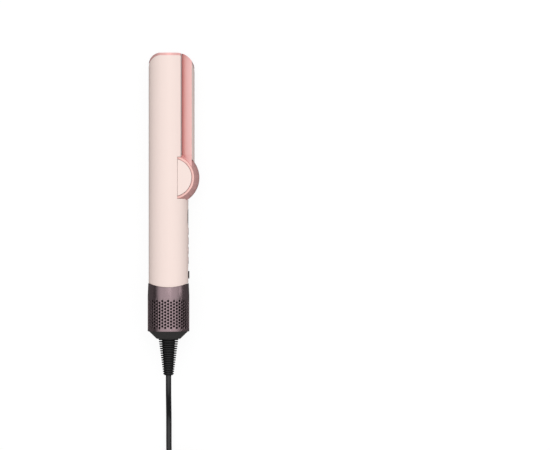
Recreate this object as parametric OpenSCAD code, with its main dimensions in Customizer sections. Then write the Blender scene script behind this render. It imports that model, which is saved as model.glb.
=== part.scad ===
// Hot air styler with two arms, lying on its side: +Y runs from the cord end to the tip,
// +X points to the pivoting arm and +Z is up, along the hinge axis.
// The pieces are drawn upright, z along the body with the tip at z = 0, and laid() turns them.

/* [Body] */
// Outer diameter of the handle and the fixed arm
body_d = 39; // [36:0.5:44]
// Wall of the outer shell
wall = 2; // [1.6:0.1:2.6]
// Distance from the tip to the hinge axis
tip_to_hinge = 122.5; // [105:0.5:150]
// Length of the handle between the hinge window and the shell's lower edge
handle_l = 82.9; // [80:0.1:100]
// How far the shell's lower edge dips at the middle
smile = 4; // [2:0.5:6]

/* [Arms] */
// Distance from the body's axis to the fixed arm's flat edge
split_x = 12.3; // [11.8:0.1:13.5]
// Gap between the closed arms
arm_gap = 0.6; // [0.5:0.1:1.5]
// Depth of the pivoting arm's core
core_depth = 10.2; // [9:0.1:12]
// Height of the dome of the pivoting arm's cover
cover_rise = 2.5; // [2:0.1:3]
// Width of the pivoting arm at its inner face
face_w = 14; // [12:0.5:16]
// Width of the pivoting arm at its cover
cover_w = 28; // [26:0.5:30]
// Radius of the tip's corner on the fixed arm
tip_r_fixed = 12; // [10:0.5:14]
// Radius of the tip's corner on the pivoting arm
tip_r_arm = 17; // [15:0.5:18]
// Thickness of the end caps
cap_t = 2.5; // [2:0.1:3]
// Width of the slot that the air leaves by
slot_w = 1.6; // [1.2:0.1:2.5]

/* [Hinge] */
// Distance from the body's axis to the hinge axis
hinge_x = 4.3; // [3.8:0.1:4.8]
// Radius of the drum's rim
rim_r = 26; // [25:0.1:27]
// Outer radius of the bright ring
ring_r = 21; // [20.5:0.1:21.5]
// Radius of the pale cap
cap_r = 18.6; // [18:0.1:19]
// Distance between the two caps' faces
hinge_w = 34.6; // [34:0.1:36]
// Window in the shell above the hinge axis
window_up = 20.4; // [19:0.1:22]
// Window in the shell below the hinge axis
window_down = 20.8; // [19:0.1:22]
// Distance from the body's axis to the window's edge
window_x = 8.9; // [8:0.1:9.2]
// Diameter of the hinge pin
pin_d = 6; // [5:0.1:7]
// How far the arm opens, in degrees
open_deg = 9; // [6:1:10]

/* [Filter] */
// Outer diameter of the filter cage
cage_d = 41; // [38:0.5:46]
// Wall of the cage
cage_wall = 0.9; // [0.7:0.1:1.1]
// Length of the cage from the shell's lower edge
cage_l = 47.5; // [47:0.5:60]
// Diameter of the cage's holes
hole_d = 2.2; // [1.6:0.1:2.4]
// Pitch of the holes along the cage
hole_pitch = 3.1; // [2.9:0.1:3.4]
// Number of hole columns around the cage
hole_columns = 44; // [36:2:44]
// Number of holes in a column
hole_rows = 9; // [6:1:9]

/* [Cord end] */
// Height of the end cone
cone_h = 7.4; // [6:0.1:10]
// Radius of the cone's lower end
cone_r = 11.6; // [10.5:0.1:13]
// Length of the ribbed strain relief
relief_l = 35.9; // [30:0.1:45]
// Radius of the strain relief's first rib
relief_r = 9.7; // [9:0.1:10.5]
// Radius of the strain relief's last rib
relief_end_r = 5.2; // [4.8:0.1:5.6]
// Number of ribs
ribs = 16; // [10:1:18]
// Diameter of the cord
cord_d = 5.4; // [5:0.1:6]

/* [Controls] */
// Length of the display's lens
display_l = 17; // [14:1:17]
// Width of the display's lens
display_w = 10; // [8:0.5:11]
// Diameter of the round buttons
button_d = 7; // [6:0.5:8]
// How far a button travels
button_travel = 0.6; // [0.4:0.1:0.8]
// Length of the lock slider
slider_l = 7.4; // [6:0.1:9]
// Width of the lock slider
slider_w = 5; // [4:0.5:6]
// How far the lock slider travels
slider_travel = 4; // [3:0.5:5]

/* [Hidden] */
$fn = 96;

body_r = body_d / 2;
bore_r = body_r - wall;
eps = 0.01;
gap = 0.3;
fit = 0.1;
run = 0.05;

// Levels along the body, down from the tip.
hinge_z = -tip_to_hinge;
window_top = hinge_z + window_up;
window_bottom = hinge_z - window_down;
shell_low = window_bottom - handle_l;
cage_low = shell_low - cage_l;
cone_low = cage_low - cone_h;
end_low = cone_low - relief_l;
root_z = window_top + 2;

// Places across the body.
cage_r = cage_d / 2;
cage_bore_r = cage_r - cage_wall;
arm_x = split_x + arm_gap;
cover_x = arm_x + core_depth;
arm_out_x = cover_x + cover_rise;
rim_x = hinge_x + rim_r;
dome_r = (pow(cover_w / 2, 2) + pow(cover_rise, 2)) / (2 * cover_rise);
flank_in = (cover_w - face_w) / 2;
flank_r = (pow(core_depth, 2) + pow(flank_in, 2)) / (2 * flank_in);
flank_deg = asin(core_depth / flank_r);
smile_r = (pow(body_r, 2) + pow(smile, 2)) / (2 * smile);

// Half widths along the hinge axis.
web_y = 12;
flange_y = 14.7;
rim_y = 7;
cheek_in = web_y + gap;
cheek_out = hinge_w / 2 - 2;
pin_y = cheek_out - 0.2;
bush_t = 1.5;
bush_l = 8;

// The chassis tube and what it holds.
chassis_r = bore_r - fit;
chassis_in = chassis_r - 1.5;
chassis_top = window_bottom - 7;
chassis_low = cage_low + 1.7;
motor_z = shell_low - 6;
motor_r = 13.5;
shaft_r = 1.5;
bearing_r = 4;
board_x = 12.5;
board_t = 1.2;

// Heaters.
heater_x = -2;
heater_r = 9;
heater_low = window_top + 8;
heater_high = -tip_r_arm - 8;
windings = 14;
wire_r = 0.6;
arm_heater_x = arm_x + 5;

// Cord end.
screw_r = 1;
screw_head_r = 1.9;
spigot_r = chassis_in - fit;
relief_neck_r = 6.5;

// Levels of the controls.
display_z = window_bottom - 18;
power_z = display_z - 14;
mode_z = power_z - 9.5;
heat_z = mode_z - 9.5;
airflow_z = heat_z - 9.5;
slider_z = window_bottom - 74.8;

// Plug and coil, on the surface that the styler lies on.
tie_t = 0.8;
coil_turns_across = 3;
coil_layers = 5;
coil_x = 11;
coil_y = -277;
coil_out = 36.5;
coil_in = coil_out - coil_turns_across * cord_d;
coil_h = coil_layers * cord_d;
plug_x = -5.6;
plug_y = -343;
plug_z = 9;
plug_back = 12;
plug_face = 44;
plug_h = 18;
pin_spacing = 19;
pin_l = 19;
contact_r = 2.4;
pin_root_r = 1.8;
pin_root_l = 8;

// The stretch from the strain relief to the coil, and the one from the coil to the plug.
cord_route = [[-4.9, -158.5, 20.5], [-4.9, -168, 20.4], [-4.9, -178, 18], [-4.9, -188, 11.6],
    [-4.9, -198, 5.4], [-4.9, -208, 3.1], [-4.9, -218, 2.9], [-4.9, -227, 2.9], [-5, -235, 2.9],
    [-6.9, -243.6, 2.9], [-10.7, -250.6, 3.2], [-14.9, -255.3, 3.5]];
tail_route = [[-12.9, -300.9, 25.1], [-7.5, -309, 24], [-5.6, -318.6, 20.7], [-5.6, -325.5, 16],
    [-5.6, -333, 10.9], [-5.6, -343, 9]];

pale = "mistyrose";
rosy = "rosybrown";
dark = "dimgray";

module laid() {
    translate([-(rim_x - cage_r) / 2, -end_low / 2, cage_r]) rotate([-90, 0, 0]) children();
}

module both_sides() {
    children();
    mirror([0, 1, 0]) children();
}

module slab(x0, x1, y0, y1, z0, z1) {
    translate([x0, y0, z0]) cube([x1 - x0, y1 - y0, z1 - z0]);
}

module post(r, z0, z1) {
    translate([0, 0, z0]) cylinder(r = r, h = z1 - z0);
}

module tube(r_out, r_in, z0, z1) {
    difference() {
        post(r_out, z0, z1);
        post(r_in, z0 - 1, z1 + 1);
    }
}

module across(r, y0, y1) {
    translate([hinge_x, y1, hinge_z]) rotate([90, 0, 0]) cylinder(r = r, h = y1 - y0);
}

module sideways(depth = 80) {
    rotate([90, 0, 0]) linear_extrude(depth, center = true) children();
}

module toward_x(r, z, x0, x1) {
    translate([x0, 0, z]) rotate([0, 90, 0]) cylinder(r = r, h = x1 - x0);
}

module pill_x(length, width, z, x0, x1) {
    straight = (length - width) / 2;
    for (side = [-1, 1]) toward_x(width / 2, z + side * straight, x0, x1);
    slab(x0, x1, -width / 2, width / 2, z - straight, z + straight);
}

// Quarter turn about c, from angle a down to a - 90.
function corner(c, r, a, n = 24) = [for (i = [0 : n])
    [c[0] + r * cos(a - 90 * i / n), c[1] + r * sin(a - 90 * i / n)]];

// Outline of both tips from the side, moved down by drop.
module tip_outline(drop = 0) {
    low = hinge_z;
    translate([0, -drop]) polygon(concat(
        [[-body_r - 1, low], [-body_r - 1, -tip_r_fixed]],
        corner([tip_r_fixed - body_r, -tip_r_fixed], tip_r_fixed, 180),
        corner([arm_out_x - tip_r_arm, -tip_r_arm], tip_r_arm, 90),
        [[arm_out_x + 1, -tip_r_arm], [arm_out_x + 1, low]]));
}

module tips(drop = 0) {
    sideways() tip_outline(drop);
}

// The dip of the shell's lower edge, moved down by drop.
module above_smile(drop = 0) {
    sideways() translate([0, -drop]) {
        translate([-60, shell_low]) square([120, -shell_low + 10]);
        translate([0, shell_low - smile + smile_r]) circle(smile_r, $fn = 200);
    }
}

module body_shell() color(pale) difference() {
    intersection() {
        post(body_r, shell_low - smile, 0);
        union() {
            tips(cap_t);
            slab(-30, 30, -30, 30, shell_low - smile - 1, hinge_z + eps);
        }
        above_smile();
    }
    intersection() {
        post(bore_r, shell_low - smile - 1, 0);
        union() {
            tips(cap_t + wall);
            slab(-30, 30, -30, 30, shell_low - smile - 2, hinge_z + eps);
        }
    }
    slab(split_x, 40, -30, 30, window_top, 10);
    slab(window_x, 40, -30, 30, window_bottom, window_top + eps);
    pill_x(display_l, display_w, display_z, bore_r - 3, body_r + 1);
    for (z = [power_z, mode_z, heat_z, airflow_z]) toward_x(button_d / 2 + gap, z, bore_r - 4, body_r + 1);
    pill_x(slider_l + slider_travel + 2 * gap, slider_w + 2 * gap, slider_z + slider_travel / 2,
        bore_r - 3, body_r + 1);
    drum_relief();
}

// Room for the drum behind the handle's upper edge.
module drum_relief() {
    intersection() {
        drum_solid(gap);
        slab(window_x - 2, 40, -30, 30, hinge_z - 40, hinge_z);
    }
}

// Skin over a tip, from the full outline down to the outline that the shell ends at.
module tip_skin() {
    difference() {
        tips(0);
        tips(cap_t);
    }
}

module fixed_end_cap() color(rosy) intersection() {
    post(body_r, -tip_r_fixed + 2, 0);
    tip_skin();
    slab(-30, split_x, -30, 30, -30, 10);
}

module fixed_clamp_face() color(rosy) difference() {
    intersection() {
        post(bore_r - fit, window_top + 1, 0);
        tips(cap_t + wall + fit);
        slab(split_x - 2.4, split_x - 0.2, -30, 30, window_top + 1, 0);
    }
    slab(split_x - 3, split_x, -slot_w / 2, slot_w / 2, window_top + 8, -tip_r_fixed - 3);
}

module fixed_duct_liner() color(dark) difference() {
    tube(bore_r - fit, bore_r - fit - 1.2, window_top + 1, -tip_r_arm - 2);
    slab(split_x - 2.4 - fit, 30, -30, 30, window_top, 0);
}

module windings_at(r) {
    step = (heater_high - heater_low - 6) / (windings - 1);
    for (i = [0 : windings - 1])
        translate([heater_x, 0, heater_low + 3 + i * step])
            rotate_extrude($fn = 48) translate([heater_r, 0]) circle(r, $fn = 16);
}

module fixed_heater_mica() color("khaki") difference() {
    union() {
        slab(heater_x - 13, split_x - 2.5, -0.5, 0.5, heater_low, heater_high);
        slab(heater_x - 0.5, heater_x + 0.5, -15.4, 15.4, heater_low, heater_high);
    }
    windings_at(wire_r + run);
}

module fixed_heater_wire() color("silver") windings_at(wire_r);

// One flank of the pivoting arm's core, from the inner face out to the cover, set in by g.
function core_flank(g = 0, steps = 10) = [for (i = [steps : -1 : 0])
    let (a = flank_deg * i / steps)
        [cover_x - (flank_r - g) * sin(a), cover_w / 2 - flank_r + (flank_r - g) * cos(a)]];

// Outline of the pivoting arm's core, set in by g.
module core_outline(g = 0, x_end = 0) {
    flank = core_flank(g);
    steps = len(flank) - 1;
    back = [for (i = [steps : -1 : 0]) [flank[i][0], -flank[i][1]]];
    polygon(concat(flank, [[cover_x + x_end, cover_w / 2 - g]], [[cover_x + x_end, g - cover_w / 2]], back));
}

// Outline of the whole arm, core and cover.
module arm_outline() {
    steps = 10;
    half = asin(cover_w / 2 / dome_r);
    flank = core_flank();
    dome = [for (i = [1 : 2 * steps - 1])
        let (a = half * (1 - i / steps)) [arm_out_x - dome_r + dome_r * cos(a), dome_r * sin(a)]];
    back = [for (i = [steps : -1 : 0]) [flank[i][0], -flank[i][1]]];
    polygon(concat(flank, dome, back));
}

module dome_outline(g = 0) {
    intersection() {
        translate([arm_out_x - dome_r, 0]) circle(dome_r - g, $fn = 240);
        translate([cover_x, -20]) square([10, 40]);
    }
}

module arm_core() color(rosy) difference() {
    intersection() {
        translate([0, 0, root_z]) linear_extrude(-root_z) core_outline();
        tips(cap_t);
    }
    intersection() {
        translate([0, 0, root_z - 1]) linear_extrude(-root_z) core_outline(1.8, 5);
        tips(cap_t + wall);
    }
    slab(arm_x - 1, arm_x + 3, -slot_w / 2, slot_w / 2, root_z + 6, -tip_r_fixed - 3);
}

module arm_cover() color(pale) difference() {
    intersection() {
        translate([0, 0, hinge_z]) linear_extrude(-hinge_z) difference() {
            dome_outline();
            dome_outline(1.4);
        }
        tips(cap_t);
    }
    across(rim_r + fit, -40, 40);
}

module arm_end_cap() color(rosy) intersection() {
    translate([0, 0, -tip_r_arm + 2]) linear_extrude(tip_r_arm) arm_outline();
    tip_skin();
}

module arm_heater_wire() color("silver") for (x = [-1.6, 1.6], y = [-5, -2.5, 2.5, 5])
    translate([arm_heater_x + x, y, 0]) post(wire_r, heater_low, heater_high - 4);

module arm_heater_mica() color("khaki") {
    slab(arm_heater_x - 0.5, arm_heater_x + 0.5, -6.8, 6.8, heater_low, heater_high - 4);
    for (z = [heater_low : 12 : heater_high - 6]) difference() {
        slab(arm_x + 1.9, cover_x - 1, -6.3, 6.3, z, z + 1);
        for (x = [-1.6, 1.6], y = [-5, -2.5, 2.5, 5])
            translate([arm_heater_x + x, y, 0]) post(wire_r + run, z - 1, z + 2);
    }
}

// Section of the drum as radius and distance along the hinge axis, grown by g.
module drum_section(g = 0) {
    polygon([[0, -flange_y - g], [ring_r + g, -flange_y - g], [rim_r + g, -rim_y - g], [rim_r + g, rim_y + g],
        [ring_r + g, flange_y + g], [0, flange_y + g]]);
}

module drum_solid(g = 0) {
    translate([hinge_x, 0, hinge_z]) rotate([90, 0, 0]) rotate_extrude($fn = 160) drum_section(g);
}

module hinge_drum() color(rosy) difference() {
    intersection() {
        union() {
            drum_solid();
            translate([0, 0, hinge_z + 6]) linear_extrude(root_z - hinge_z - 6) core_outline();
        }
        union() {
            across(web_y - 1, -web_y, web_y);
            slab(1, 60, -30, 30, hinge_z - 40, window_top - gap);
            slab(arm_x, 60, -30, 30, window_top - gap - eps, root_z);
        }
    }
    both_sides() across(cap_r + gap, web_y, 40);
    across(pin_d / 2 + run + bush_t, -40, 40);
    slab(hinge_x + 8, cover_x - 2.5, -6, 6, hinge_z - 40, root_z + 1);
    ring_seat();
}

module ring_seat() {
    both_sides() difference() {
        across(ring_r + 0.01, flange_y - 0.8, flange_y + 1);
        across(ring_r - 1.7, flange_y - 2, flange_y + 2);
    }
}

module hinge_ring() {
    intersection() {
        difference() {
            across(ring_r, flange_y - 0.8, flange_y);
            across(ring_r - 1.7, flange_y - 2, flange_y + 2);
        }
        slab(1, 60, -30, 30, hinge_z - 40, window_top - gap);
    }
}

module hinge_ring_rear() color("pink") hinge_ring();

module hinge_ring_front() color("pink") mirror([0, 1, 0]) hinge_ring();

module hinge_bush() {
    difference() {
        across(pin_d / 2 + run + bush_t, web_y - bush_l, web_y);
        across(pin_d / 2 + run, 0, 40);
    }
}

module hinge_bush_rear() color("goldenrod") hinge_bush();

module hinge_bush_front() color("goldenrod") mirror([0, 1, 0]) hinge_bush();

module hinge_pin() color("silver") across(pin_d / 2, -pin_y, pin_y);

module hinge_bracket() color(dark) {
    both_sides() intersection() {
        difference() {
            union() {
                across(cap_r, cheek_in, cheek_out);
                slab(-bore_r, -4, cheek_in, cheek_out, chassis_top, window_top);
            }
            across(pin_d / 2, 0, 40);
        }
        union() {
            post(bore_r - fit, chassis_top - 1, window_top + 10);
            slab(window_x + gap, 40, -30, 30, window_bottom, window_top);
        }
        slab(-30, 40, -30, 30, chassis_top, window_top);
    }
    intersection() {
        slab(-bore_r, -bore_r / 2, -cheek_in - 1, cheek_in + 1, chassis_top, window_top);
        tube(bore_r - fit, bore_r - fit - 2.5, chassis_top, window_top);
    }
}

module hinge_cap() {
    intersection() {
        across(cap_r, cheek_out, hinge_w / 2);
        slab(window_x + 0.2, 60, -30, 30, window_bottom + fit, window_top - fit);
    }
}

module hinge_cap_rear() color(pale) hinge_cap();

module hinge_cap_front() color(pale) mirror([0, 1, 0]) hinge_cap();

module chassis_tube() color(dark) difference() {
    tube(chassis_r, chassis_in, chassis_low, chassis_top);
    slab(0, 30, -7.5, 7.5, slider_z - 8, chassis_top - 2);
    for (i = [0 : 5]) rotate([0, 0, 30 + 60 * i]) slab(5, 30, -5, 5, cage_low + 12, shell_low - smile - 12);
    at_screws() toward_x(screw_head_r, 0, chassis_r - 1.1, chassis_r + 1);
    at_screws() toward_x(screw_r, 0, 5, 30);
}

module filter_mesh() color("gray") tube(chassis_r + 1, chassis_r + run, cage_low + 3, shell_low - smile - 10);

module cage_holes() {
    first = cage_low + 2.5 + hole_d / 2;
    for (k = [0 : hole_columns - 1], i = [0 : hole_rows - 1])
        rotate([0, 0, k * 360 / hole_columns])
            toward_x(hole_d / 2, first + (i + (k % 2) / 2) * hole_pitch, cage_bore_r - 0.5, cage_r + 0.5, $fn = 16);
}

module filter_cage() color("rosybrown") difference() {
    union() {
        post(cage_r, cage_low, shell_low - smile - 8);
        translate([0, 0, shell_low - smile - 8 - eps]) cylinder(r1 = cage_r, r2 = cage_bore_r + 0.35, h = smile + 8);
    }
    post(cage_bore_r, cage_low - 1, shell_low + 1);
    above_smile(0.25);
    cage_holes();
}

module at_screws() {
    for (i = [0 : 2]) rotate([0, 0, 60 + 120 * i]) translate([0, 0, cage_low + 7]) children();
}

module cone_screws() color("silver") at_screws() {
    toward_x(screw_head_r, 0, chassis_r - 1.1, chassis_r - 0.1);
    toward_x(screw_r, 0, spigot_r - 3, chassis_r - 1.1);
}

module end_cone() color("gray") difference() {
    union() {
        tube(spigot_r, spigot_r - 1.8, cage_low + 1, cage_low + 10);
        post(cage_bore_r - gap, cage_low, cage_low + 1.6);
        translate([0, 0, cone_low]) cylinder(r1 = cone_r, r2 = cage_bore_r - gap, h = cone_h);
    }
    translate([0, 0, cone_low + 2]) cylinder(r1 = cone_r - 2, r2 = spigot_r - 1.8, h = cone_h - 0.4);
    post(spigot_r - 1.8, cage_low + 1.5, cage_low + 12);
    post(relief_neck_r, cone_low - 1, cone_low + 5);
    at_screws() toward_x(screw_r, 0, 5, 30);
}

module strain_relief() color("black") {
    pitch = relief_l / ribs;
    for (i = [0 : ribs - 1]) {
        r = relief_r + (relief_end_r - relief_r) * i / (ribs - 1);
        core = relief_neck_r + (cord_d / 2 + 1.5 - relief_neck_r) * i / (ribs - 1);
        z = cone_low - i * pitch;
        post(r, z - pitch * 0.6, z);
        post(core, z - pitch - (i < ribs - 1 ? eps : 0), z - pitch * 0.6 + eps);
    }
    post(relief_neck_r, cone_low - eps, cone_low + 2);
    post(relief_neck_r + 1.6, cone_low + 2, cone_low + 3.2);
}

module cable_clamp() color("ivory") difference() {
    post(relief_neck_r + 1.6, cone_low + 3.2, cone_low + 8);
    slab(-30, 30, 1.2, 4, cone_low + 4, cone_low + 9);
}

module motor_housing() color("silver") {
    tube(motor_r, motor_r - 0.9, motor_z - 15, motor_z + 15);
    for (z = [motor_z - 4, motor_z + 11]) {
        tube(bearing_r + 1.5, bearing_r, z, z + 2);
        for (i = [0 : 2]) rotate([0, 0, 120 * i]) slab(bearing_r + 1, motor_r - 0.5, -0.8, 0.8, z, z + 2);
    }
}

module motor_mounts() color("black") for (z = [motor_z - 13, motor_z + 5])
    tube(chassis_in - run, motor_r + run, z, z + 4);

module motor_stator() color("brown") {
    tube(motor_r - 0.9 - run, 10, motor_z, motor_z + 9);
    for (i = [0 : 3]) rotate([0, 0, 90 * i]) {
        slab(6, 10.5, -2, 2, motor_z, motor_z + 9);
        slab(7, 9.5, -3.4, 3.4, motor_z - 1, motor_z + 10);
    }
}

module motor_bearings() color("gray") for (z = [motor_z - 4, motor_z + 11])
    tube(bearing_r, shaft_r + run, z, z + 2);

module motor_shaft() color("silver") post(shaft_r, motor_z - 14, motor_z + 14);

module rotor_magnet() color("gray") tube(5.2, shaft_r, motor_z, motor_z + 9);

module impeller() color("ivory") difference() {
    union() {
        translate([0, 0, motor_z - 13]) cylinder(r1 = 5, r2 = 8, h = 8.5);
        for (i = [0 : 10]) rotate([0, 0, i * 360 / 11]) intersection() {
            translate([7, 0, motor_z - 9]) rotate([40, 0, 0]) slab(-3, 6, -0.4, 0.4, -6, 6);
            post(motor_r - 1.3, motor_z - 12.5, motor_z - 5);
        }
    }
    post(shaft_r, motor_z - 20, motor_z);
}

module control_board() color("green") {
    slab(board_x, board_x + board_t, -7.6, 7.6, airflow_z - 5, chassis_top - 3);
    for (z = [power_z, mode_z, heat_z, airflow_z])
        slab(board_x + board_t - eps, board_x + board_t + 0.6, -2.5, 2.5, z - 2.5, z + 2.5);
    slab(board_x + board_t - eps, bore_r - 3.4, -3.6, 3.6, display_z - 7, display_z + 7);
}

module display_lens() color("black") intersection() {
    pill_x(display_l - 2 * run, display_w - 2 * run, display_z, bore_r - 3.3, body_r + 1);
    post(body_r, window_bottom - 60, window_bottom);
}

module button(z) {
    intersection() {
        toward_x(button_d / 2, z, board_x + board_t + 0.6 + button_travel + fit, body_r + 2);
        post(body_r + 0.25, z - 10, z + 10);
    }
    toward_x(button_d / 2 + 0.7, z, board_x + board_t + 0.6 + button_travel + fit, bore_r - 1.7);
}

module power_button() color("silver") button(power_z);

module mode_button() color("silver") button(mode_z);

module heat_button() color("silver") button(heat_z);

module airflow_button() color("silver") button(airflow_z);

module lock_slider() color("dimgray") {
    pill_x(slider_l, slider_w, slider_z, bore_r - 1.5, body_r + 1);
    slab(bore_r - 2.2, bore_r - 0.9, -slider_w / 2 - 0.8, slider_w / 2 + 0.8, slider_z - slider_l / 2 - 1,
        slider_z + slider_l / 2 + 1);
}

// Point at t along the smooth curve through four route points.
function between(a, b, c, d, t) = 0.5 * (2 * b + (c - a) * t + (2 * a - 5 * b + 4 * c - d) * t * t
    + (3 * b - a - 3 * c + d) * t * t * t);

function smooth(p, n = 2) = concat([for (i = [0 : len(p) - 2], k = [0 : n - 1])
    between(p[max(i - 1, 0)], p[i], p[i + 1], p[min(i + 2, len(p) - 1)], k / n)], [p[len(p) - 1]]);

function unit(v) = v / norm(v);

// Tube with n sides along a route that is never upright.
module swept(route, r, n = 10) {
    p = smooth(route);
    last = len(p) - 1;
    rings = [for (i = [0 : last])
        let (t = unit(p[min(i + 1, last)] - p[max(i - 1, 0)]), s = unit(cross(t, [0, 0, 1])), u = cross(s, t))
            for (j = [0 : n - 1]) p[i] + r * (cos(360 * j / n) * s + sin(360 * j / n) * u)];
    sides = [for (i = [0 : last - 1], j = [0 : n - 1])
        [i * n + j, i * n + (j + 1) % n, (i + 1) * n + (j + 1) % n, (i + 1) * n + j]];
    polyhedron(rings, concat(sides, [[for (j = [n - 1 : -1 : 0]) j]], [[for (j = [0 : n - 1]) last * n + j]]));
}

module cord_tube() color("black") swept(cord_route, cord_d / 2);

module cord_tail() color("black") swept(tail_route, cord_d / 2);

module cord_coil() color("black") translate([coil_x, coil_y, tie_t]) rotate_extrude()
    translate([coil_in, 0]) square([coil_out - coil_in, coil_h]);

module cord_tie() color("black") translate([coil_x, coil_y, 0]) rotate([0, 0, 60]) difference() {
    slab(coil_in - tie_t - 0.5, coil_out + tie_t + fit, -4, 4, 0, coil_h + 2 * tie_t);
    slab(coil_in - 0.5, coil_out + fit, -5, 5, tie_t, coil_h + tie_t);
}

// The plug points down the y axis from where the cord enters it.
module plugged() {
    translate([plug_x, plug_y, 0]) rotate([0, 0, -90]) children();
}

module at_pins() {
    for (side = [-1, 1]) translate([plug_face, side * pin_spacing / 2, plug_z]) rotate([0, 90, 0]) children();
}

module plug_body() color("black") plugged() difference() {
    union() {
        slab(plug_back, plug_face, -17.5, 17.5, 0, plug_h);
        for (side = [-1, 1]) translate([plug_back, side * 8, 0]) cylinder(r = 9.5, h = plug_h);
        slab(plug_back - 6, plug_back, -8, 8, 0.5, plug_h - 0.5);
        translate([0, 0, plug_z]) rotate([0, 90, 0]) cylinder(r1 = 4.4, r2 = 8, h = 8);
    }
    at_pins() translate([0, 0, -pin_root_l]) cylinder(r = pin_root_r, h = pin_root_l + 1);
}

module plug_pins() color("silver") plugged() at_pins() {
    cylinder(r = contact_r, h = pin_l);
    translate([0, 0, -pin_root_l]) cylinder(r = pin_root_r, h = pin_root_l + eps);
}

laid() body_shell();
laid() fixed_end_cap();
laid() fixed_clamp_face();
laid() fixed_duct_liner();
laid() fixed_heater_mica();
laid() fixed_heater_wire();
laid() hinge_bracket();
laid() hinge_pin();
laid() hinge_cap_front();
laid() hinge_cap_rear();
laid() hinge_drum();
laid() hinge_ring_front();
laid() hinge_ring_rear();
laid() hinge_bush_front();
laid() hinge_bush_rear();
laid() arm_core();
laid() arm_cover();
laid() arm_end_cap();
laid() arm_heater_mica();
laid() arm_heater_wire();
laid() chassis_tube();
laid() filter_mesh();
laid() filter_cage();
laid() motor_housing();
laid() motor_mounts();
laid() motor_stator();
laid() motor_bearings();
laid() motor_shaft();
laid() rotor_magnet();
laid() impeller();
laid() control_board();
laid() display_lens();
laid() power_button();
laid() mode_button();
laid() heat_button();
laid() airflow_button();
laid() lock_slider();
laid() end_cone();
laid() cone_screws();
laid() cable_clamp();
laid() strain_relief();
cord_tube();
cord_coil();
cord_tail();
cord_tie();
plug_body();
plug_pins();
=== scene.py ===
"""Hot air styler: camera, cord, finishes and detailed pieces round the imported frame."""

import math

import bmesh
import bpy
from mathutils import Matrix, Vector


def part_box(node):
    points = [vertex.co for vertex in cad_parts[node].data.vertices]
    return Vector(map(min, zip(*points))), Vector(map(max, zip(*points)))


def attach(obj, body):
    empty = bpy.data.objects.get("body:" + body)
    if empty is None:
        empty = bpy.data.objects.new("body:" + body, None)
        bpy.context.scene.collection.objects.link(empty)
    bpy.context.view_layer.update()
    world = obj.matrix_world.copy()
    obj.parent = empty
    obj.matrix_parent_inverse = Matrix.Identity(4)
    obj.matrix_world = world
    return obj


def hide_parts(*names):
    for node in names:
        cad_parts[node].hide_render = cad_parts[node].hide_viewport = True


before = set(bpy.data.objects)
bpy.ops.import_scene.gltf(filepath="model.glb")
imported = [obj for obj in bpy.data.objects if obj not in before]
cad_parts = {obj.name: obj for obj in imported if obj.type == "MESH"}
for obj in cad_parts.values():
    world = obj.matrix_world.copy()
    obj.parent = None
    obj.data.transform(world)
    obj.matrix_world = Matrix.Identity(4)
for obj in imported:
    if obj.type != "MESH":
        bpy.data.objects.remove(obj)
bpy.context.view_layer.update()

bl_info = {
    "name": "Hot air styler",
    "version": (1, 0, 0),
    "blender": (4, 5, 0),
    "location": "View3D > Sidebar > Styler",
    "description": "Finishes, cord and detailed pieces of a two-arm hot air styler",
    "category": "Object",
}

MM = 0.001
ROUTE_MM = [
    (-4.9, -158.5, 20.5), (-4.9, -168, 20.4), (-4.9, -178, 18), (-4.9, -188, 11.6), (-4.9, -198, 5.4),
    (-4.9, -208, 3.1), (-4.9, -218, 2.9), (-4.9, -227, 2.9), (-5, -235, 2.9), (-6.9, -243.6, 2.9),
    (-10.7, -250.6, 3.2), (-14.9, -255.3, 3.5),
]
TAIL_MM = [
    (-12.9, -300.9, 25.1), (-7.5, -309, 24), (-5.6, -318.6, 20.7), (-5.6, -325.5, 16), (-5.6, -333, 10.9),
    (-5.6, -343, 9),
]
# Cells of the coil in the order that they are wound: the turn's row from the middle out, and its layer.
COIL_CELLS = [
    (3, 1), (2, 1), (1, 1), (1, 2), (2, 2), (3, 2), (3, 3), (2, 3), (1, 3), (1, 4), (1, 5), (2, 5), (2, 4),
    (3, 4), (3, 5),
]
# Angles round the coil, in degrees: where the lead joins it, where the tail leaves it, and the stretch in
# which each turn moves on to the next cell.
LEAD_JOINS = 140
TAIL_LEAVES = 225
MOVE_STARTS, MOVE_ENDS = 35, 125
TURN_STEP = 5
# Points laid between two of a route's points, and the facets round the cord.
ROUTE_STEPS = 4
CORD_FACETS = 6

# Where the camera stands beside the body's axis and the tip, as shares of the view's width.
CAMERA_ASIDE = 0.1936
CAMERA_BELOW_TIP = 0.3123
SENSOR_WIDTH = 36
CLIP_END = 30

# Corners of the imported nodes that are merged, and the bend below which two faces count as one flat face.
WELD = 0.002 * MM
FLAT_BEND = 0.6

FLOOR_HALF = 4
FLOOR_GLOW = 0.9
FLOOR_SHINE = 0.03
# The sky brightens with height and toward the tip; each pair is (height span, strength span).
SKY_LEAN = 0.42
SOFT_SKY = ((-0.1, 0.9), (0.74, 0.98))
SHARP_SKY = ((0.22, 0.78), (0.06, 1.0))
# Name, place, size, power and share of shine of each lamp.
LAMPS = [
    ("Softbox", (0.15, 0.6, 1.9), 0.9, 2.7, 1.0),
    ("Side fill", (1.5, 0.3, 0.5), 0.6, 1.6, 0.15),
]

# Scales of the broad colour drift and of the rubbed patches, and the depths that bumps stand for.
DRIFT_SCALE = 45.0
RUB_SCALE = 160.0
GRAIN_DEPTH = 0.1 * MM
WIRE_SCALE = 420.0
WIRE_DEPTH = 0.2 * MM


def colour(name, text, rgb):
    return bpy.props.FloatVectorProperty(
        name=name, description=text, default=rgb, subtype="COLOR", size=3, min=0, max=1
    )


def length(name, text, metres):
    return bpy.props.FloatProperty(
        name=name, description=text, default=metres, min=0, unit="LENGTH", precision=5
    )


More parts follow.
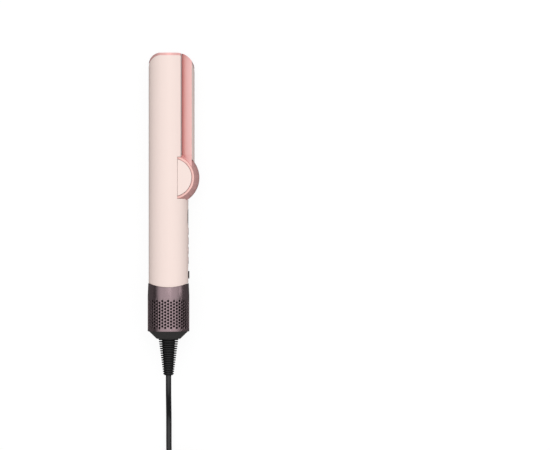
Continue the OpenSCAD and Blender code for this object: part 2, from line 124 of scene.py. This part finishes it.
class StylerColours(bpy.types.PropertyGroup):
    """Colours of the styler's finishes, as linear values"""

    pale: colour("Pale shell", "Pale pink of the shell, caps and cover", (0.93, 0.765, 0.71))
    rosy: colour("Rosy parts", "Satin rose of the arm's core and the clamp face", (0.86, 0.50, 0.475))
    rose_metal: colour("Rose metal", "Satin rose metal of the hinge drum and end caps", (0.84, 0.46, 0.44))
    ring: colour("Bright ring", "Lighter rose of the hinge rings", (0.93, 0.58, 0.53))
    cage: colour("Cage", "Purple brown metal of the filter cage", (0.34, 0.25, 0.268))
    cone: colour("End cone", "Grey of the cone at the cord end", (0.04, 0.039, 0.038))
    rubber: colour("Black rubber", "Black of the relief, tie and motor mounts", (0.006, 0.006, 0.0065))
    cord: colour("Cord", "Dark grey of the cord's jacket", (0.011, 0.011, 0.0115))
    plug: colour("Plug", "Black of the plug's body", (0.014, 0.014, 0.015))
    button: colour("Buttons", "Rose metal of the round buttons", (0.80, 0.56, 0.52))
    slider: colour("Lock slider", "Dark grey of the lock slider", (0.02, 0.016, 0.017))
    steel: colour("Steel", "Ground steel of pins, screws and bearings", (0.56, 0.56, 0.57))
    bronze: colour("Bronze", "Sintered bronze of the hinge bushes", (0.5, 0.3, 0.12))
    nylon: colour("Nylon", "Cream nylon of the impeller and the cable clamp", (0.68, 0.66, 0.58))
    liner: colour("Liner", "Dark plastic of the chassis tube and the duct liner", (0.02, 0.02, 0.022))
    mica: colour("Mica", "Mica of the heater frames", (0.5, 0.44, 0.28))
    copper: colour("Copper", "Wound copper of the stator", (0.6, 0.24, 0.12))
    lens: colour("Lens", "Black glass of the display", (0.004, 0.004, 0.005))
    board: colour("Board", "Green of the control board", (0.01, 0.07, 0.03))
    wire: colour("Wire cloth", "Dark wires of the filter mesh", (0.012, 0.010, 0.011))
    # Painted shade: the openings between the wires are coloured near black for the dark seen through the
    # holes of the cloth.
    wire_gap_shade: colour("Wire cloth openings", "Near black between the wires", (0.0015, 0.0012, 0.0014))
    floor: colour("Floor", "Grey card under the pale floor", (0.12, 0.12, 0.12))


class StylerSizes(bpy.types.PropertyGroup):
    """Sizes of the pieces that are made here"""

    cord_diameter: length("Cord diameter", "Outer diameter of the cord", 5.4 * MM)
    cord_length: length("Cord length", "Length of the whole cord", 2.67)
    edge: length("Edge rounding", "Rounding of the shell's and the caps' edges", 0.35 * MM)
    drum_edge: length("Drum edge", "Rounding of the hinge drum's edges", 1.5 * MM)
    cover_edge: length("Cover edge", "Rounding of the arm cover's edges", 0.15 * MM)
    cage_edge: length("Cage edge", "Chamfer of the cage's holes and lips", 0.16 * MM)
    cone_edge: length("Cone edge", "Rounding of the end cone's edges", 0.4 * MM)
    rib_edge: length("Rib edge", "Rounding of the strain relief's ribs", 0.42 * MM)
    button_edge: length("Button edge", "Rounding of the buttons and the cord tie", 0.2 * MM)
    slider_edge: length("Slider edge", "Rounding of the lock slider's edges", 0.3 * MM)
    plug_edge: length("Plug edge", "Rounding of the plug's body", 1.1 * MM)
    pin_edge: length("Pin edge", "Rounding of the plug pins' tips", 0.8 * MM)
    view_width: length("View width", "Width of the view at the styler", 0.5415)
    camera_height: length("Camera height", "Height of the camera above the styler", 5.0)


def looks():
    return bpy.context.scene.styler_colours


def sizes():
    return bpy.context.scene.styler_sizes


# Shader node helpers


def add(tree, kind, **settings):
    node = tree.nodes.new(kind)
    for key, value in settings.items():
        if key in node.inputs:
            node.inputs[key].default_value = value
        else:
            setattr(node, key, value)
    return node


def join(tree, source, target):
    tree.links.new(source, target)


def new_group(name, inputs, outputs):
    tree = bpy.data.node_groups.new(name, "ShaderNodeTree")
    for label, kind, value in inputs:
        socket = tree.interface.new_socket(label, in_out="INPUT", socket_type=kind)
        if value is not None:
            socket.default_value = value
    for label, kind in outputs:
        tree.interface.new_socket(label, in_out="OUTPUT", socket_type=kind)
    return tree, tree.nodes.new("NodeGroupInput"), tree.nodes.new("NodeGroupOutput")


def noise(tree, coordinates, scale, detail=2.0):
    node = add(tree, "ShaderNodeTexNoise")
    node.inputs["Scale"].default_value = scale
    node.inputs["Detail"].default_value = detail
    join(tree, coordinates, node.inputs["Vector"])
    return node.outputs["Fac"]


def signed(tree, value):
    """The value, from 0 to 1, as one from -1 to 1."""
    node = add(tree, "ShaderNodeMath", operation="MULTIPLY_ADD")
    node.inputs[1].default_value = 2.0
    node.inputs[2].default_value = -1.0
    join(tree, value, node.inputs[0])
    return node.outputs[0]


def grain_group():
    """Fine moulded or blasted grain: a colour that drifts a little, a roughness and a height."""
    name = "Moulded grain"
    if name in bpy.data.node_groups:
        return bpy.data.node_groups[name]
    tree, given, out = new_group(
        name,
        [("Colour", "NodeSocketColor", (0.8, 0.8, 0.8, 1)), ("Drift", "NodeSocketFloat", 0.04),
         ("Roughness", "NodeSocketFloat", 0.4), ("Unevenness", "NodeSocketFloat", 0.06),
         ("Grain scale", "NodeSocketFloat", 3000.0)],
        [("Colour", "NodeSocketColor"), ("Roughness", "NodeSocketFloat"), ("Height", "NodeSocketFloat")],
    )
    place = add(tree, "ShaderNodeTexCoord").outputs["Object"]
    broad = signed(tree, noise(tree, place, DRIFT_SCALE, 3.0))
    drift = add(tree, "ShaderNodeMath", operation="MULTIPLY_ADD")
    drift.inputs[2].default_value = 1.0
    join(tree, broad, drift.inputs[0])
    join(tree, given.outputs["Drift"], drift.inputs[1])
    tint = add(tree, "ShaderNodeVectorMath", operation="SCALE")
    join(tree, given.outputs["Colour"], tint.inputs[0])
    join(tree, drift.outputs[0], tint.inputs["Scale"])
    join(tree, tint.outputs[0], out.inputs["Colour"])
    rub = signed(tree, noise(tree, place, RUB_SCALE, 4.0))
    rough = add(tree, "ShaderNodeMath", operation="MULTIPLY_ADD", use_clamp=True)
    join(tree, rub, rough.inputs[0])
    join(tree, given.outputs["Unevenness"], rough.inputs[1])
    join(tree, given.outputs["Roughness"], rough.inputs[2])
    join(tree, rough.outputs[0], out.inputs["Roughness"])
    fine = add(tree, "ShaderNodeTexNoise")
    fine.inputs["Detail"].default_value = 1.0
    join(tree, place, fine.inputs["Vector"])
    join(tree, given.outputs["Grain scale"], fine.inputs["Scale"])
    join(tree, fine.outputs["Fac"], out.inputs["Height"])
    return tree


def finish(name, rgb, roughness, metallic=0.0, drift=0.03, unevenness=0.05, grain=3000.0, bump=0.05,
           coat=0.0, coat_roughness=0.2, specular=0.5):
    """A moulded, painted or blasted finish with its grain, drift and bump."""
    if name in bpy.data.materials:
        return bpy.data.materials[name]
    material = bpy.data.materials.new(name)
    material.use_nodes = True
    material.diffuse_color = (*rgb, 1)
    tree = material.node_tree
    shader = tree.nodes["Principled BSDF"]
    shader.inputs["Metallic"].default_value = metallic
    shader.inputs["Coat Weight"].default_value = coat
    shader.inputs["Coat Roughness"].default_value = coat_roughness
    shader.inputs["Specular IOR Level"].default_value = specular
    group = add(tree, "ShaderNodeGroup")
    group.node_tree = grain_group()
    group.inputs["Colour"].default_value = (*rgb, 1)
    group.inputs["Drift"].default_value = drift
    group.inputs["Roughness"].default_value = roughness
    group.inputs["Unevenness"].default_value = unevenness
    group.inputs["Grain scale"].default_value = grain
    join(tree, group.outputs["Colour"], shader.inputs["Base Color"])
    join(tree, group.outputs["Roughness"], shader.inputs["Roughness"])
    dent = add(tree, "ShaderNodeBump")
    dent.inputs["Strength"].default_value = bump
    dent.inputs["Distance"].default_value = GRAIN_DEPTH
    join(tree, group.outputs["Height"], dent.inputs["Height"])
    join(tree, dent.outputs["Normal"], shader.inputs["Normal"])
    return material


def pale_finish():
    return finish("Pale satin shell", looks().pale, 0.42, drift=0.008, unevenness=0.03, grain=4200.0,
                  bump=0.03, coat=0.08, coat_roughness=0.3, specular=0.35)


def rosy_finish():
    return finish("Rose satin", looks().rosy, 0.34, metallic=0.2, drift=0.02, unevenness=0.04,
                  grain=5200.0, bump=0.05, specular=0.4)


def rose_metal_finish():
    return finish("Rose metal", looks().rose_metal, 0.32, metallic=0.4, drift=0.02, unevenness=0.05,
                  grain=5200.0, bump=0.05)


def ring_finish():
    return finish("Light rose ring", looks().ring, 0.3, metallic=0.25, drift=0.01, unevenness=0.03,
                  grain=6000.0, bump=0.02, specular=0.4)


def cage_finish():
    return finish("Purple brown metal", looks().cage, 0.26, metallic=1.0, drift=0.015, unevenness=0.02,
                  grain=5200.0, bump=0.06)


def cone_finish():
    return finish("Grey matte plastic", looks().cone, 0.5, drift=0.05, unevenness=0.06, grain=2600.0,
                  bump=0.15, specular=0.45)


def rubber_finish():
    return finish("Black rubber", looks().rubber, 0.42, drift=0.1, unevenness=0.08, grain=2800.0,
                  bump=0.15, specular=0.4)


def cord_finish():
    return finish("Black cord jacket", looks().cord, 0.38, drift=0.08, unevenness=0.06, grain=2400.0,
                  bump=0.1, specular=0.6)


def button_finish():
    return finish("Brushed button metal", looks().button, 0.32, metallic=0.85, drift=0.03, unevenness=0.06,
                  grain=3600.0, bump=0.06)


def slider_finish():
    return finish("Dark slider plastic", looks().slider, 0.45, drift=0.05, unevenness=0.05, grain=3000.0,
                  bump=0.15, specular=0.4)


def plug_finish():
    return finish("Moulded plug", looks().plug, 0.5, drift=0.06, unevenness=0.06, grain=1500.0, bump=0.3,
                  specular=0.4)


def steel_finish():
    return finish("Ground steel", looks().steel, 0.28, metallic=1.0, drift=0.03, unevenness=0.06,
                  grain=1800.0, bump=0.05)


def inner_finish(name, rgb, roughness, metallic=0.0):
    return finish(name, rgb, roughness, metallic=metallic, drift=0.06, unevenness=0.08, grain=1500.0,
                  bump=0.1)


def mesh_finish():
    """A fine woven wire cloth: dark wires, with painted shade in the openings between them."""
    name = "Woven wire cloth"
    if name in bpy.data.materials:
        return bpy.data.materials[name]
    material = bpy.data.materials.new(name)
    material.use_nodes = True
    tree = material.node_tree
    shader = tree.nodes["Principled BSDF"]
    place = add(tree, "ShaderNodeTexCoord").outputs["Object"]
    wires = []
    for direction in ("X", "Y"):
        wave = add(tree, "ShaderNodeTexWave", wave_type="BANDS", bands_direction=direction)
        wave.inputs["Scale"].default_value = WIRE_SCALE
        join(tree, place, wave.inputs["Vector"])
        wires.append(wave.outputs["Fac"])
    top = add(tree, "ShaderNodeMath", operation="MAXIMUM")
    join(tree, wires[1], top.inputs[0])
    join(tree, wires[0], top.inputs[1])
    colours = add(tree, "ShaderNodeMix", data_type="RGBA")
    # Painted shade: the openings get near black for the dark seen through them, the wires their own dark
    # colour.
    colours.inputs["A"].default_value = (*looks().wire_gap_shade, 1)
    colours.inputs["B"].default_value = (*looks().wire, 1)
    join(tree, top.outputs[0], colours.inputs["Factor"])
    join(tree, colours.outputs["Result"], shader.inputs["Base Color"])
    shader.inputs["Metallic"].default_value = 0.1
    shader.inputs["Roughness"].default_value = 0.7
    shader.inputs["Specular IOR Level"].default_value = 0.15
    dent = add(tree, "ShaderNodeBump")
    dent.inputs["Strength"].default_value = 0.4
    dent.inputs["Distance"].default_value = WIRE_DEPTH
    join(tree, top.outputs[0], dent.inputs["Height"])
    join(tree, dent.outputs["Normal"], shader.inputs["Normal"])
    return material


# Mesh helpers


def put(mesh, name, material, body):
    piece = bpy.data.objects.new(name, mesh)
    bpy.context.scene.collection.objects.link(piece)
    mesh.materials.append(material)
    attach(piece, body)
    return piece


def paint(material, *nodes):
    for name in nodes:
        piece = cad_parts[name]
        if not piece.material_slots:
            piece.data.materials.append(material)
        for slot in piece.material_slots:
            slot.material = material


def softened(node, body, material, width, segments=2, angle=35):
    """A copy of a node with its sharp edges rounded, which stands for it."""
    mesh = bpy.data.meshes.new(node + "_shape")
    work = bmesh.new()
    work.from_mesh(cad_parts[node].data)
    bmesh.ops.remove_doubles(work, verts=work.verts, dist=WELD)
    bmesh.ops.dissolve_limit(work, angle_limit=math.radians(FLAT_BEND), verts=work.verts, edges=work.edges)
    work.to_mesh(mesh)
    work.free()
    mesh.materials.clear()
    piece = put(mesh, node + "_shown", material, body)
    round_edges(piece, width, segments, angle)
    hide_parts(node)
    return piece


def round_edges(piece, width, segments, angle):
    bevel = piece.modifiers.new("Rounded edges", "BEVEL")
    bevel.width = width
    bevel.segments = segments
    bevel.limit_method = "ANGLE"
    bevel.angle_limit = math.radians(angle)
    bevel.use_clamp_overlap = True
    bevel.harden_normals = True
    bevel.miter_outer = "MITER_ARC"
    piece.data.shade_smooth()
    weighted = piece.modifiers.new("Even shading", "WEIGHTED_NORMAL")
    weighted.keep_sharp = True


def middle(a, b, c, d, t):
    """The point at share t of the way from b to c on a smooth curve through a, b, c and d."""
    square = 2 * a - 5 * b + 4 * c - d
    cube = 3 * b - a - 3 * c + d
    return 0.5 * (2 * b + (c - a) * t + square * t * t + cube * t ** 3)


def smooth(points, n):
    """The points with n - 1 more between each two, on a smooth curve through them."""
    p = [Vector(q) for q in points]
    last = len(p) - 1
    line = []
    for i in range(last):
        for k in range(n):
            line.append(middle(p[max(i - 1, 0)], p[i], p[i + 1], p[min(i + 2, last)], k / n))
    return line + [p[last]]


def body_axis():
    """Centre of the body, from the strain relief's box."""
    low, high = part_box("strain_relief")
    return (low.x + high.x) / 2, (low.z + high.z) / 2


# Camera and cord come first


def make_camera():
    s = sizes()
    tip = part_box("fixed_end_cap")[1].y
    x, z = body_axis()
    data = bpy.data.cameras.new("Camera")
    data.sensor_width = SENSOR_WIDTH
    data.lens = data.sensor_width * s.camera_height / s.view_width
    data.clip_end = CLIP_END
    camera = bpy.data.objects.new("Camera", data)
    bpy.context.scene.collection.objects.link(camera)
    camera.location = (
        x + CAMERA_ASIDE * s.view_width, tip - CAMERA_BELOW_TIP * s.view_width, z + s.camera_height
    )
    bpy.context.scene.camera = camera


def coil_line():
    """The coil's turns, cell by cell, from where the lead joins it to where the tail leaves it."""
    s = sizes()
    low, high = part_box("cord_coil")
    centre = (low + high) / 2
    d = s.cord_diameter
    outer = (high.x - low.x) / 2 - d / 2
    rows = max(row for row, layer in COIL_CELLS)
    cells = [(outer - (rows - row) * d, low.z + (layer - 0.5) * d) for row, layer in COIL_CELLS]
    last = len(cells) - 1
    line = []
    for angle in range(LEAD_JOINS, 360 * last + TAIL_LEAVES + 1, TURN_STEP):
        turn = (angle - MOVE_ENDS) // 360
        moved = ((angle - MOVE_ENDS) % 360 - 360 + MOVE_ENDS - MOVE_STARTS) / (MOVE_ENDS - MOVE_STARTS)
        r, z = cells[turn]
        if moved > 0 and turn < last:
            share = moved * moved * (3 - 2 * moved)
            r += (cells[turn + 1][0] - r) * share
            z += (cells[turn + 1][1] - z) * share
        place = math.radians(angle)
        line.append(Vector((centre.x + r * math.cos(place), centre.y + r * math.sin(place), z)))
    return line


def make_cord():
    s = sizes()
    lead = smooth([[v * MM for v in p] for p in ROUTE_MM], ROUTE_STEPS)
    tail = smooth([[v * MM for v in p] for p in TAIL_MM], ROUTE_STEPS)
    line = lead[:-1] + coil_line() + tail[1:]
    data = bpy.data.curves.new("cord", "CURVE")
    data.dimensions = "3D"
    data.bevel_depth = s.cord_diameter / 2
    data.bevel_resolution = CORD_FACETS
    data.use_fill_caps = True
    spline = data.splines.new("POLY")
    spline.points.add(len(line) - 1)
    for point, place in zip(spline.points, line):
        point.co = (*place, 1)
    spline.use_smooth = True
    cord = bpy.data.objects.new("cord", data)
    bpy.context.scene.collection.objects.link(cord)
    data.materials.append(cord_finish())
    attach(cord, "handle")
    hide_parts("cord_tube", "cord_coil", "cord_tail")
    with_pieces = [make_tie(), make_plug(), make_plug_pins()]
    measured = sum((b - a).length for a, b in zip(line, line[1:]))
    print("cord length", round(measured, 4))


def make_tie():
    return softened("cord_tie", "handle", rubber_finish(), sizes().button_edge)


def make_plug():
    return softened("plug_body", "handle", plug_finish(), sizes().plug_edge, 4, 30)


def make_plug_pins():
    return softened("plug_pins", "handle", steel_finish(), sizes().pin_edge, 4, 50)


def make_floor():
    """A floor that the camera sees as plain white but for the styler's shadow."""
    mesh = bpy.data.meshes.new("floor")
    h = FLOOR_HALF
    mesh.from_pydata([(-h, -h, 0), (h, -h, 0), (h, h, 0), (-h, h, 0)], [], [(0, 1, 2, 3)])
    floor = bpy.data.objects.new("floor", mesh)
    bpy.context.scene.collection.objects.link(floor)
    material = bpy.data.materials.new("Floor")
    material.use_nodes = True
    tree = material.node_tree
    shader = tree.nodes["Principled BSDF"]
    shader.inputs["Base Color"].default_value = (*looks().floor, 1)
    shader.inputs["Roughness"].default_value = 0.9
    shader.inputs["Specular IOR Level"].default_value = 0.1
    shader.inputs["Emission Color"].default_value = (1, 1, 1, 1)
    path = add(tree, "ShaderNodeLightPath")
    seen = add(tree, "ShaderNodeMath", operation="ADD", use_clamp=True)
    join(tree, path.outputs["Is Camera Ray"], seen.inputs[0])
    join(tree, path.outputs["Is Transmission Ray"], seen.inputs[1])
    shine = add(tree, "ShaderNodeMath", operation="MULTIPLY")
    shine.inputs[1].default_value = FLOOR_SHINE
    join(tree, path.outputs["Is Glossy Ray"], shine.inputs[0])
    both = add(tree, "ShaderNodeMath", operation="ADD", use_clamp=True)
    join(tree, seen.outputs[0], both.inputs[0])
    join(tree, shine.outputs[0], both.inputs[1])
    share = add(tree, "ShaderNodeMath", operation="MULTIPLY")
    share.inputs[1].default_value = FLOOR_GLOW
    join(tree, both.outputs[0], share.inputs[0])
    join(tree, share.outputs[0], shader.inputs["Emission Strength"])
    mesh.materials.append(material)


def sky_curve(tree, height, span, strength):
    curve = add(tree, "ShaderNodeMapRange", interpolation_type="SMOOTHSTEP")
    curve.inputs["From Min"].default_value = span[0]
    curve.inputs["From Max"].default_value = span[1]
    curve.inputs["To Min"].default_value = strength[0]
    curve.inputs["To Max"].default_value = strength[1]
    join(tree, height, curve.inputs["Value"])
    return curve.outputs["Result"]


def make_world():
    """A bright sky that fades to dim walls, more steeply in reflections; the camera sees plain white."""
    world = bpy.data.worlds.new("Studio")
    bpy.context.scene.world = world
    world.use_nodes = True
    tree = world.node_tree
    back = tree.nodes["Background"]
    back.inputs["Color"].default_value = (1, 1, 1, 1)
    place = add(tree, "ShaderNodeTexCoord")
    split = add(tree, "ShaderNodeSeparateXYZ")
    join(tree, place.outputs["Generated"], split.inputs[0])
    lean = add(tree, "ShaderNodeMath", operation="MULTIPLY_ADD")
    lean.inputs[1].default_value = SKY_LEAN
    join(tree, split.outputs["Y"], lean.inputs[0])
    join(tree, split.outputs["Z"], lean.inputs[2])
    soft = sky_curve(tree, lean.outputs[0], *SOFT_SKY)
    sharp = sky_curve(tree, lean.outputs[0], *SHARP_SKY)
    path = add(tree, "ShaderNodeLightPath")
    light = add(tree, "ShaderNodeMix", data_type="FLOAT")
    join(tree, path.outputs["Is Glossy Ray"], light.inputs["Factor"])
    join(tree, soft, light.inputs["A"])
    join(tree, sharp, light.inputs["B"])
    seen = add(tree, "ShaderNodeMix", data_type="FLOAT")
    seen.inputs["B"].default_value = 1.0
    join(tree, path.outputs["Is Camera Ray"], seen.inputs["Factor"])
    join(tree, light.outputs["Result"], seen.inputs["A"])
    join(tree, seen.outputs["Result"], back.inputs["Strength"])


def make_lamp(name, place, size, power, shine):
    data = bpy.data.lights.new(name, "AREA")
    data.shape = "SQUARE"
    data.size = size
    data.energy = power
    data.specular_factor = shine
    lamp = bpy.data.objects.new(name, data)
    bpy.context.scene.collection.objects.link(lamp)
    lamp.location = place
    lamp.rotation_mode = "QUATERNION"
    lamp.rotation_quaternion = (-Vector(place)).to_track_quat("-Z", "Y")


def make_studio():
    bpy.context.scene.view_settings.view_transform = "Standard"
    make_floor()
    make_world()
    for lamp in LAMPS:
        make_lamp(*lamp)


def make_shell():
    edge = sizes().edge
    softened("body_shell", "handle", pale_finish(), edge)
    softened("fixed_end_cap", "handle", rose_metal_finish(), edge)
    paint(rosy_finish(), "fixed_clamp_face")


def make_hinge():
    softened("hinge_cap_front", "handle", pale_finish(), sizes().edge)
    softened("hinge_cap_rear", "handle", pale_finish(), sizes().edge)
    softened("hinge_drum", "pivot_arm", rose_metal_finish(), sizes().drum_edge, 5)
    paint(ring_finish(), "hinge_ring_front", "hinge_ring_rear")
    paint(steel_finish(), "hinge_pin", "hinge_bracket")
    paint(inner_finish("Sintered bronze", looks().bronze, 0.4, 0.9), "hinge_bush_front", "hinge_bush_rear")


def make_arm():
    paint(rosy_finish(), "arm_core")
    softened("arm_cover", "pivot_arm", pale_finish(), sizes().cover_edge)
    softened("arm_end_cap", "pivot_arm", rose_metal_finish(), sizes().edge)


def make_filter():
    softened("filter_cage", "cage", cage_finish(), sizes().cage_edge, 1, 40)
    paint(mesh_finish(), "filter_mesh")


def make_cord_end():
    softened("end_cone", "handle", cone_finish(), sizes().cone_edge)
    softened("strain_relief", "handle", rubber_finish(), sizes().rib_edge, 3)
    paint(steel_finish(), "cone_screws")
    paint(inner_finish("Cream nylon", looks().nylon, 0.45), "cable_clamp")


def make_controls():
    for key in ("power", "mode", "heat", "airflow"):
        softened(key + "_button", key + "_key", button_finish(), sizes().button_edge)
    softened("lock_slider", "lock_key", slider_finish(), sizes().slider_edge)
    paint(inner_finish("Black gloss lens", looks().lens, 0.08), "display_lens")
    paint(inner_finish("Green circuit board", looks().board, 0.35), "control_board")


def make_works():
    paint(rubber_finish(), "motor_mounts")
    paint(steel_finish(), "motor_shaft", "motor_bearings", "rotor_magnet", "motor_housing",
          "fixed_heater_wire", "arm_heater_wire")
    paint(inner_finish("Dark moulded liner", looks().liner, 0.5), "chassis_tube", "fixed_duct_liner")
    paint(inner_finish("Mica sheet", looks().mica, 0.35), "fixed_heater_mica", "arm_heater_mica")
    paint(inner_finish("Wound copper", looks().copper, 0.35, 0.9), "motor_stator")
    paint(inner_finish("Cream nylon", looks().nylon, 0.45), "impeller")


class STYLER_OT_camera(bpy.types.Operator):
    """Places the camera straight above the styler as it lies on its side"""

    bl_idname = "styler.camera"
    bl_label = "Camera"

    def execute(self, context):
        make_camera()
        return {"FINISHED"}


class STYLER_OT_cord(bpy.types.Operator):
    """Lays the cord from the strain relief through its coil to the plug"""

    bl_idname = "styler.cord"
    bl_label = "Cord"

    def execute(self, context):
        make_cord()
        return {"FINISHED"}


class STYLER_OT_shell(bpy.types.Operator):
    """Rounds the shell and the fixed arm's end cap and gives them their finish"""

    bl_idname = "styler.shell"
    bl_label = "Shell"

    def execute(self, context):
        make_shell()
        return {"FINISHED"}


class STYLER_OT_hinge(bpy.types.Operator):
    """Makes the hinge's caps and drum and finishes its rings, bracket, pin and bushes"""

    bl_idname = "styler.hinge"
    bl_label = "Hinge"

    def execute(self, context):
        make_hinge()
        return {"FINISHED"}


class STYLER_OT_arm(bpy.types.Operator):
    """Makes the pivoting arm's cover and end cap and finishes its core"""

    bl_idname = "styler.arm"
    bl_label = "Arm"

    def execute(self, context):
        make_arm()
        return {"FINISHED"}


class STYLER_OT_filter(bpy.types.Operator):
    """Makes the perforated cage and finishes the wire cloth inside it"""

    bl_idname = "styler.filter"
    bl_label = "Filter"

    def execute(self, context):
        make_filter()
        return {"FINISHED"}


class STYLER_OT_cord_end(bpy.types.Operator):
    """Makes the cone and the ribbed strain relief"""

    bl_idname = "styler.cord_end"
    bl_label = "Cord end"

    def execute(self, context):
        make_cord_end()
        return {"FINISHED"}


class STYLER_OT_controls(bpy.types.Operator):
    """Makes the buttons and the lock slider and finishes the display and its board"""

    bl_idname = "styler.controls"
    bl_label = "Controls"

    def execute(self, context):
        make_controls()
        return {"FINISHED"}


class STYLER_OT_works(bpy.types.Operator):
    """Finishes the motor, fan, heaters and liners"""

    bl_idname = "styler.works"
    bl_label = "Inner works"

    def execute(self, context):
        make_works()
        return {"FINISHED"}


class STYLER_OT_studio(bpy.types.Operator):
    """Sets up the floor, the lamps and the world"""

    bl_idname = "styler.studio"
    bl_label = "Studio"

    def execute(self, context):
        make_studio()
        return {"FINISHED"}


OPERATORS = [
    STYLER_OT_camera, STYLER_OT_cord, STYLER_OT_shell, STYLER_OT_hinge, STYLER_OT_arm, STYLER_OT_filter,
    STYLER_OT_cord_end, STYLER_OT_controls, STYLER_OT_works, STYLER_OT_studio,
]


class STYLER_PT_panel(bpy.types.Panel):
    """Lists the styler's colours, sizes and steps"""

    bl_idname = "STYLER_PT_panel"
    bl_label = "Styler"
    bl_space_type = "VIEW_3D"
    bl_region_type = "UI"
    bl_category = "Styler"

    def draw(self, context):
        for group in (context.scene.styler_colours, context.scene.styler_sizes):
            for key in group.bl_rna.properties.keys():
                if key not in ("rna_type", "name"):
                    self.layout.prop(group, key)
        for operator in OPERATORS:
            self.layout.operator(operator.bl_idname)


CLASSES = [StylerColours, StylerSizes, *OPERATORS, STYLER_PT_panel]


def register():
    for cls in CLASSES:
        bpy.utils.register_class(cls)
    bpy.types.Scene.styler_colours = bpy.props.PointerProperty(type=StylerColours)
    bpy.types.Scene.styler_sizes = bpy.props.PointerProperty(type=StylerSizes)


def unregister():
    del bpy.types.Scene.styler_sizes
    del bpy.types.Scene.styler_colours
    for cls in reversed(CLASSES):
        bpy.utils.unregister_class(cls)


def main():
    register()
    for operator in OPERATORS:
        group, name = operator.bl_idname.split(".")
        getattr(getattr(bpy.ops, group), name)()


if __name__ == "__main__":
    main()
